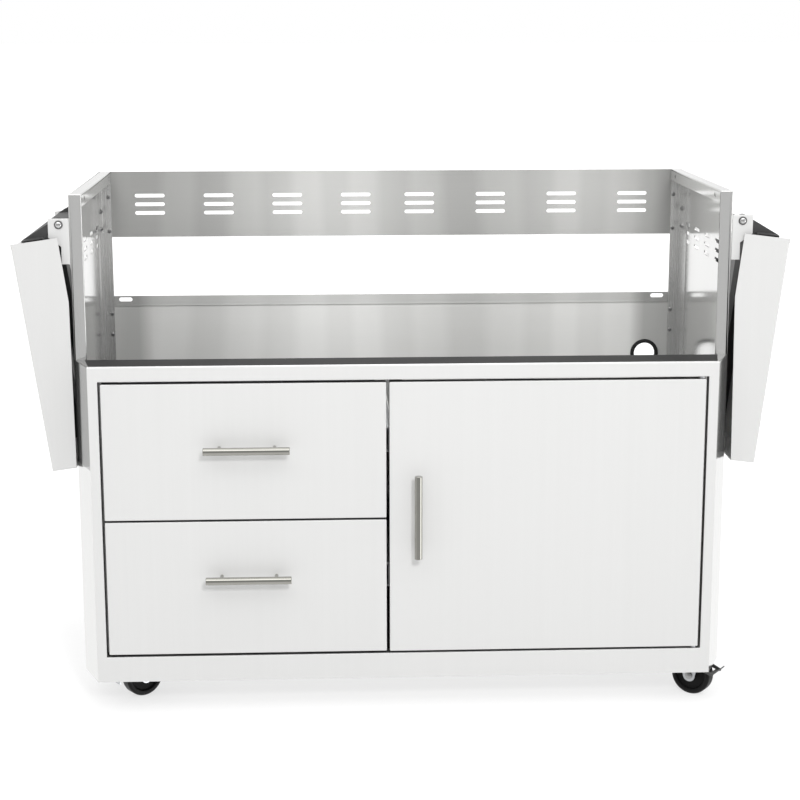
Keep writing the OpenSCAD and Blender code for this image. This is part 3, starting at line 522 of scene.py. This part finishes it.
# Rear panels
# Stainless sheet brushed along its length, so that what it mirrors is smeared upright, with wide
# upright bands of painted reflection in its colour. It is darker towards its ends, a painted
# reflection of the bay's corners.
def banded(name, light, dark, metallic, end_from, end_tone, strip_from=None):
    """Steel with painted reflections in wide upright bands, and painted shade far from the middle
    and above the strip's foot.
    """
    material = bpy.data.materials.new(name)
    steel = Shader(material)
    place = steel.place()
    along, through, height = steel.split(place)
    hair = steel.noise(steel.stretch(place, (5, 700, 700)), 1.0, 4.0, 0.6)
    drift = steel.noise(steel.stretch(place, (2.2, 1, 0.6)), 1.0, 1.0)
    # Painted reflections: wide upright bands of lighter and darker steel.
    reflection_bands = (along * 11.3 + 3.03).sine() * 0.5 + 0.5
    fine_wave = ((along * 47 + drift * 9).sine() * 2).above(0, 2)
    tone = reflection_bands * 0.58 + fine_wave * 0.18 + drift * 0.12 + hair * 0.12
    # Painted reflection: darker towards the ends, where the panel mirrors the dark corners of the
    # bay.
    ends = (along * along).above(end_from * end_from, 0.03)
    shade = (0.05, 0.05, 0.048, 1)
    colour = steel.mix(tone.clamp(), dark, light)
    # Painted shade: the strip along the top of the lower panel is darker.
    if strip_from:
        colour = steel.mix(height.above(strip_from, 0.006) * 0.36, colour, shade)
    finish = steel.node("ShaderNodeBsdfPrincipled", {}, {
        "Base Color": steel.mix(ends * (1 - end_tone), colour, shade),
        "Metallic": metallic,
        "Roughness": 0.46 + (hair - 0.5) * 0.1,
        "Anisotropic": 0.8,
        "Anisotropic Rotation": 0.25,
        "Normal": steel.bump(hair, 0.05, 0.0003),
    })
    steel.node("ShaderNodeOutputMaterial", {}, {"Surface": finish.out()})
    return material


upper_rear_steel = banded("upper_rear_steel", (0.50, 0.50, 0.488, 1), (0.27, 0.27, 0.262, 1),
                          metallic=0.6, end_from=0.545, end_tone=0.8)
strip_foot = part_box("rear_lower_panel")[1][2] - 0.02
# The lower panel is lighter than the upper, painted light that makes up for the deeper shade it
# stands in.
lower_rear_steel = banded("lower_rear_steel", (0.74, 0.74, 0.723, 1), (0.48, 0.48, 0.468, 1),
                          metallic=0.4, end_from=0.505, end_tone=0.6, strip_from=strip_foot)
folded("rear_upper_panel", upper_rear_steel)
folded("rear_lower_panel", lower_rear_steel)


# Rear posts, deck and the panels beside the drawers
# Duller stainless sheet with folded flanges, spot welded to the side panels and to each other.
inner_steel = brushed("inner_steel", (0.74, 0.74, 0.73, 1), (0.56, 0.56, 0.55, 1), 0.26,
                      metallic=0.85)
for node in ("left_rear_post", "right_rear_post", "deck", "slide_panel", "divider"):
    folded(node, inner_steel)


# Screws of the rear panels
# Small domed steel screws through the panels into the posts.
def turned(name, profile, steps):
    """A piece turned about the Z axis from a profile of (radius, height) points."""
    mesh = bpy.data.meshes.new(name)
    points = [(radius, 0, height) for radius, height in profile]
    edges = [(step, step + 1) for step in range(len(points) - 1)]
    if profile[0][0] > 0 and profile[-1][0] > 0:
        edges.append((len(points) - 1, 0))
    mesh.from_pydata(points, edges, [])
    piece = bpy.data.objects.new(name, mesh)
    bpy.context.scene.collection.objects.link(piece)
    make_active(piece)
    bpy.ops.object.mode_set(mode="EDIT")
    bpy.ops.mesh.select_all(action="SELECT")
    bpy.ops.mesh.spin(steps=steps, angle=math.tau, center=(0, 0, 0), axis=(0, 0, 1))
    bpy.ops.mesh.select_all(action="SELECT")
    bpy.ops.mesh.remove_doubles(threshold=same_place / 2)
    bpy.ops.mesh.normals_make_consistent(inside=False)
    bpy.ops.object.mode_set(mode="OBJECT")
    return piece


def stand(piece, place, axis):
    """Turns a piece drawn about the Z axis to another axis and moves it to its place."""
    piece.rotation_mode = "QUATERNION"
    piece.rotation_quaternion = Vector((0, 0, 1)).rotation_difference(Vector(axis))
    piece.location = place
    make_active(piece)
    bpy.ops.object.transform_apply(location=True, rotation=True, scale=True)
    return piece


def joined(name, pieces):
    """Several pieces made one."""
    bpy.ops.object.select_all(action="DESELECT")
    for piece in pieces:
        piece.select_set(True)
    bpy.context.view_layer.objects.active = pieces[0]
    bpy.ops.object.join()
    pieces[0].name = name
    return pieces[0]


def solids_of(node):
    """Lowest and highest corner of each separate solid of a CAD node."""
    mesh = bmesh.new()
    mesh.from_mesh(frame["nodes"][node].data)
    bmesh.ops.remove_doubles(mesh, verts=mesh.verts, dist=same_place)
    seen = set()
    boxes = []
    for start in mesh.verts:
        if start in seen:
            continue
        seen.add(start)
        group = [start]
        for vertex in group:
            for edge in vertex.link_edges:
                other = edge.other_vert(vertex)
                if other not in seen:
                    seen.add(other)
                    group.append(other)
        low = Vector(min(vertex.co[axis] for vertex in group) for axis in range(3))
        high = Vector(max(vertex.co[axis] for vertex in group) for axis in range(3))
        boxes.append((low, high))
    mesh.free()
    return boxes


def arc(centre, radius, start, end, steps, rise=None):
    """Points of an arc as (radius, height), by degrees from the radius axis, oval with a rise."""
    points = []
    for step in range(steps + 1):
        turn = math.radians(start + (end - start) * step / steps)
        points.append((centre[0] + radius * math.cos(turn),
                       centre[1] + (rise or radius) * math.sin(turn)))
    return points


screw_steps = 32


def domed_screw(name, length, shank, head_r, head_t, washer_r=0, washer_t=0):
    """A domed screw about the Z axis, its head's seat at z = 0, with a washer below the head."""
    tip_in = 0.0004
    tip_up = 0.0005
    edge = 0.0002
    rim = head_t * 0.3
    profile = [(0, -length), (shank - tip_in, -length)]
    profile += [(shank, -length + tip_up), (shank, -washer_t)]
    if washer_r:
        profile += [(washer_r - edge, -washer_t), (washer_r, -washer_t + edge)]
        profile += [(washer_r, -edge), (washer_r - edge, 0), (head_r + 2 * edge, 0)]
    profile += [(head_r, 0), (head_r, rim)]
    profile += arc((0, rim), head_r, 11.25, 78.75, 6, rise=head_t - rim)
    profile.append((0, head_t))
    return turned(name, profile, screw_steps)


even_grain = (300, 300, 300)
screw_steel = brushed("screw_steel", (0.40, 0.40, 0.40, 1), (0.28, 0.28, 0.28, 1), 0.25,
                      grain=even_grain)
shank_r = 0.002
head_r = 0.004
head_t = 0.002
screws = []
for low, high in solids_of("rear_panel_screws"):
    middle = (low + high) / 2
    screw = domed_screw("rear_panel_screw", high.y - low.y - head_t, shank_r, head_r, head_t)
    screws.append(stand(screw, (middle.x, low.y + head_t, middle.z), (0, -1, 0)))
screws = joined("rear_panel_screw_set", screws)
smooth(screws)
dress(screws, screw_steel, "rear_panel_screws")


# Hose grommet
# A soft black ring with a rounded lip on each side, clipped over the edge of its hole.
def mirrored(profile):
    """A profile followed by its mirror image, from the top down."""
    return profile + [(radius, -height) for radius, height in reversed(profile)]


rubber_black = coated("rubber_black", (0.008, 0.008, 0.008, 1), (0.014, 0.014, 0.014, 1), 0.5,
                      gloss=0.1)
low, high = (Vector(corner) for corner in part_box("hose_grommet"))
grommet_r = (high.x - low.x) / 2
grommet_half = (high.y - low.y) / 2
bore_r = 0.0215
lip = 0.004
lip_foot = lip + 0.0001
neck_r = (bore_r + grommet_r) / 2 - 0.0001
entry = 0.002
half_ring = arc((grommet_r - lip, -grommet_half + lip), lip, -90, 0, 8)
half_ring += [(grommet_r - 0.0003, -grommet_half + lip_foot), (neck_r, -grommet_half + lip_foot)]
ring = mirrored(half_ring)
ring += arc((bore_r + entry, grommet_half - entry), entry, 90, 180, 6)
ring += arc((bore_r + entry, -grommet_half + entry), entry, 180, 270, 6)
round_steps = 72
grommet = stand(turned("grommet_ring", ring, round_steps), (low + high) / 2, (0, 1, 0))
smooth(grommet)
dress(grommet, rubber_black, "hose_grommet")


# Drawer slides
# Rails of zinc-plated steel in three sizes, rolled to channels that run in each other. The outer
# ones are screwed to the slide panel and the divider, the inner ones to the drawer boxes.
coarse_grain = (80, 80, 80)
zinc_steel = brushed("zinc_steel", (0.62, 0.63, 0.64, 1), (0.46, 0.47, 0.49, 1), 0.34,
                     grain=coarse_grain)
for node in ("slide_outer_rails", "upper_slide_middles", "lower_slide_middles",
             "upper_slide_inners", "lower_slide_inners"):
    folded(node, zinc_steel, outer=0.0009, inner=0.0003, broad=0.0016)


# Drawers
# A brushed front with folded edges, screwed to a box of plated steel. The front's folded returns
# are near black, painted shade for the dark gaps around it.
for node in ("upper_drawer_front", "lower_drawer_front"):
    returns_in_painted_shade(folded(node, front_steel))
for node in ("upper_drawer_box", "lower_drawer_box"):
    folded(node, zinc_steel)


# Handles
# A straight bar of satin nickel, chamfered at its ends, on two thin posts screwed to the front.
def softened(node, finish, width=0.0005, segments=2):
    """A solid piece with its sharp edges broken."""
    piece = merged_copy(node)
    apply_modifier(piece, "BEVEL", limit_method="ANGLE", angle_limit=math.radians(30), width=width,
                   segments=segments)
    smooth(piece)
    dress(piece, finish, node)


handle_nickel = brushed("handle_nickel", (0.42, 0.415, 0.385, 1), (0.34, 0.335, 0.305, 1), 0.08,
                        grain=(600, 600, 600), spread=0.03)
chamfer = 0.0012
break_edge = chamfer * 0.3
bar_steps = 56
for handle in ("upper_handle", "lower_handle", "door_handle"):
    low, high = (Vector(corner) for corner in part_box(handle + "_bar"))
    size = high - low
    upright = size.z > size.x
    length = max(size)
    radius = size.y / 2
    end = -length / 2
    half_bar = [(0, end), (radius - chamfer, end), (radius - break_edge, end + break_edge)]
    half_bar.append((radius, end + chamfer))
    bar = turned(handle + "_rod", mirrored(half_bar), bar_steps)
    stand(bar, (low + high) / 2, (0, 0, 1) if upright else (1, 0, 0))
    smooth(bar, 50)
    dress(bar, handle_nickel, handle + "_bar")
    softened(handle + "_posts", handle_nickel, 0.0004)


# Door
# A brushed skin with folded edges over a plated liner, turning on two pins. A black magnetic catch
# on the divider holds it shut.
# The skin's folded returns are near black, painted shade for the dark gaps around the door.
returns_in_painted_shade(folded("door_skin", front_steel))
folded("door_liner", zinc_steel)
softened("door_pivot_pins", zinc_steel, 0.0004)
plastic_black = coated("plastic_black", (0.02, 0.02, 0.02, 1), (0.03, 0.03, 0.03, 1), 0.5)
softened("door_catch", plastic_black, 0.0006)


# Shelf brackets and their screws
# Folded steel angles outside the cabinet, each held by small screws with lock nuts inside.
def lock_nut(name, radius, height, thread_r):
    """A lock nut about the Z axis, its seat at z = 0: a chamfered hexagon with a round collar."""
    bpy.ops.object.select_all(action="DESELECT")
    bpy.ops.mesh.primitive_cylinder_add(vertices=6, radius=radius, depth=height * 0.75,
                                        location=(0, 0, height * 0.375))
    hexagon = bpy.context.active_object
    bpy.ops.object.transform_apply(location=True, rotation=True, scale=True)
    apply_modifier(hexagon, "BEVEL", width=0.0003, segments=2)
    collar = turned("collar", [
        (thread_r, height * 0.7), (radius * 0.82, height * 0.7), (radius * 0.82, height * 0.9),
        (radius * 0.74, height), (thread_r, height)], screw_steps)
    return joined(name, [hexagon, collar])


shelf_steel = brushed("shelf_steel", (0.59, 0.59, 0.585, 1), (0.55, 0.55, 0.545, 1), 0.48,
                      metallic=0.2)
folded("shelf_brackets", shelf_steel, broad=0.005)
thread_end = 0.002
nut_r = 0.005
nut_t = 0.0032
thread_play = 0.0001
screws = []
for low, high in solids_of("bracket_screws"):
    middle = (low + high) / 2
    side = 1 if middle.x > 0 else -1
    outer_end = high.x if side > 0 else low.x
    inner_end = low.x if side > 0 else high.x
    screw = domed_screw("bracket_screw", high.x - low.x - head_t, shank_r, head_r, head_t)
    screws.append(stand(screw, (outer_end - side * head_t, middle.y, middle.z), (side, 0, 0)))
    nut = lock_nut("bracket_nut", nut_r, nut_t, shank_r - thread_play)
    nut_seat = inner_end + side * (thread_end + nut_t)
    screws.append(stand(nut, (nut_seat, middle.y, middle.z), (-side, 0, 0)))
screws = joined("bracket_screw_set", screws)
smooth(screws)
dress(screws, screw_steel, "bracket_screws")


# Pivot bolts of the shelves
# A shelf turns on each: a domed bolt, a dark washer outside the bracket and a lock nut inside.
pivot_steel = brushed("pivot_steel", (0.74, 0.74, 0.74, 1), (0.6, 0.6, 0.6, 1), 0.2,
                      grain=even_grain)
washer_dark = brushed("washer_dark", (0.24, 0.24, 0.24, 1), (0.16, 0.16, 0.16, 1), 0.4,
                      grain=even_grain)
bolt_r = 0.004
bolt_head_r = 0.0055
bolt_head_t = 0.004
washer_r = 0.0076
washer_t = 0.0015
bolt_nut_r = 0.007
bolt_nut_t = 0.006
bolts = []
bolt_places = []
for low, high in solids_of("shelf_pivot_bolts"):
    middle = (low + high) / 2
    outward = -1 if middle.y < 0 else 1
    outer_end = low.y if outward < 0 else high.y
    inner_end = high.y if outward < 0 else low.y
    seat = Vector((middle.x, outer_end - outward * bolt_head_t, middle.z))
    bolt_places.append(seat)
    bolt = domed_screw("pivot_bolt", abs(inner_end - seat.y), bolt_r, bolt_head_r, bolt_head_t,
                       washer_r, washer_t)
    bolts.append(stand(bolt, seat, (0, outward, 0)))
    nut = lock_nut("pivot_nut", bolt_nut_r, bolt_nut_t, bolt_r - thread_play)
    nut_seat = inner_end + outward * (thread_end + bolt_nut_t)
    bolts.append(stand(nut, (middle.x, nut_seat, middle.z), (0, -outward, 0)))
bolts = joined("pivot_bolt_set", bolts)
smooth(bolts)
dress(bolts, pivot_steel, "shelf_pivot_bolts")
bolts.data.materials.append(washer_dark)
for face in bolts.data.polygons:
    nearest = min(bolt_places, key=lambda place: (place - face.center).length)
    off_axis = math.hypot(face.center.x - nearest.x, face.center.z - nearest.z)
    if off_axis > bolt_head_r and abs(face.center.y - nearest.y) < washer_t * 1.2:
        face.material_index = 1


# Folding shelves
# A brushed pan with tapered end plates, on a dark channel along its hinge edge and stiffened by
# three more below.
# The near black of the hinge channel and the stiffeners is partly their dark coat and partly
# painted shade for the shaded inside of the hanging shelf.
shelf_dark = coated("shelf_dark", (0.03, 0.03, 0.03, 1), (0.05, 0.05, 0.05, 1), 0.5)
for side in ("left", "right"):
    folded(side + "_shelf_pan", shelf_steel)
    folded(side + "_shelf_rail", shelf_dark, broad=0.005)
    folded(side + "_shelf_stiffeners", shelf_dark)


# Casters
# Zinc-plated plates and forks, black wheels with a rubber tread, bolted under the deck.
# The two front ones have a brake lever.
pressed_edge = 0.0008
softened("caster_plates", zinc_steel, pressed_edge)
plate_bolt_r = 0.003
plate_head_r = 0.0055
plate_head_t = 0.003
plate_nut_r = 0.006
plate_nut_t = 0.0045
bolts = []
for low, high in solids_of("caster_bolts"):
    middle = (low + high) / 2
    bolt = domed_screw("caster_bolt", high.z - low.z - plate_head_t, plate_bolt_r, plate_head_r,
                       plate_head_t)
    bolts.append(stand(bolt, (middle.x, middle.y, low.z + plate_head_t), (0, 0, -1)))
    nut = lock_nut("caster_nut", plate_nut_r, plate_nut_t, plate_bolt_r - thread_play)
    bolts.append(stand(nut, (middle.x, middle.y, high.z - plate_nut_t), (0, 0, 1)))
bolts = joined("caster_bolt_set", bolts)
smooth(bolts)
dress(bolts, screw_steel, "caster_bolts")

tread_black = coated("tread_black", (0.004, 0.004, 0.004, 1), (0.009, 0.009, 0.009, 1), 0.45,
                     gloss=0.18)
core_black = coated("core_black", (0.004, 0.004, 0.004, 1), (0.009, 0.009, 0.009, 1), 0.5,
                    gloss=0.12)
lever_steel = coated("lever_steel", (0.06, 0.06, 0.06, 1), (0.1, 0.1, 0.1, 1), 0.4, metallic=0.6)
wheel_r = 0.038
half = 0.0125
shoulder = 0.005
rim_r = wheel_r - 0.009
hub_r = 0.011
axle_r = 0.004
dish = 0.003
lap = 0.0006
lap_in = 0.0004
foot_r = rim_r - 0.001
foot_in = 0.0012
tread_profile = [(rim_r + lap, -half + lap_in)]
tread_profile += arc((wheel_r - shoulder, -half + shoulder), shoulder, -90, 0, 9)
tread_profile += arc((wheel_r - shoulder, half - shoulder), shoulder, 0, 90, 9)
tread_profile += [(rim_r + lap, half - lap_in), (foot_r, half - foot_in), (foot_r, -half + foot_in)]
web = half - dish * 1.6
core_half = [(axle_r + 0.0002, half - 0.0004), (axle_r + 0.0006, half)]
core_half += [(hub_r - 0.0006, half), (hub_r, half - 0.0006)]
core_half += [(hub_r + 0.001, half - dish * 1.3), (hub_r + 0.003, web)]
core_half += [(rim_r - 0.004, web), (rim_r - 0.002, half - dish * 1.2)]
core_half += [(rim_r - 0.0008, half - 0.0004), (rim_r, half), (rim_r + 0.0005, half - 0.0006)]
leg_gap = 0.0015
leg_t = 0.0025
leg_out = half + leg_gap + leg_t
axle_head_r = axle_r + 0.003
axle_head_t = 0.004
axle_past = 0.004
axle_nut_t = 0.005
joint_of = {joint["name"]: joint for joint in frame["joints"]}
for corner in ("front_left", "front_right", "rear_left", "rear_right"):
    spin = joint_of[corner + "_roller_spin"]
    place = Vector(spin["pos_m"])
    axis = Vector(spin["axis"])
    tread = stand(turned(corner + "_tread", tread_profile, round_steps), place, axis)
    smooth(tread)
    tread.data.materials.append(tread_black)
    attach(tread, corner + "_roller")
    core = stand(turned(corner + "_core", mirrored(core_half), round_steps), place, axis)
    smooth(core)
    dress(core, core_black, corner + "_wheel")
    softened(corner + "_fork", zinc_steel, pressed_edge, 3)
    bolt = domed_screw("axle_bolt", 2 * leg_out + axle_past, axle_r, axle_head_r, axle_head_t)
    stand(bolt, place - axis * leg_out, -axis)
    nut = lock_nut("axle_nut", axle_head_r, axle_nut_t, axle_r - thread_play)
    stand(nut, place + axis * leg_out, axis)
    axle = joined(corner + "_axle", [bolt, nut])
    smooth(axle)
    dress(axle, screw_steel, "caster_axles_" + corner)
for side in ("left", "right"):
    softened(side + "_brake_lever", lever_steel)


# Size
# The bounds of the finished object.
low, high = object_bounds()
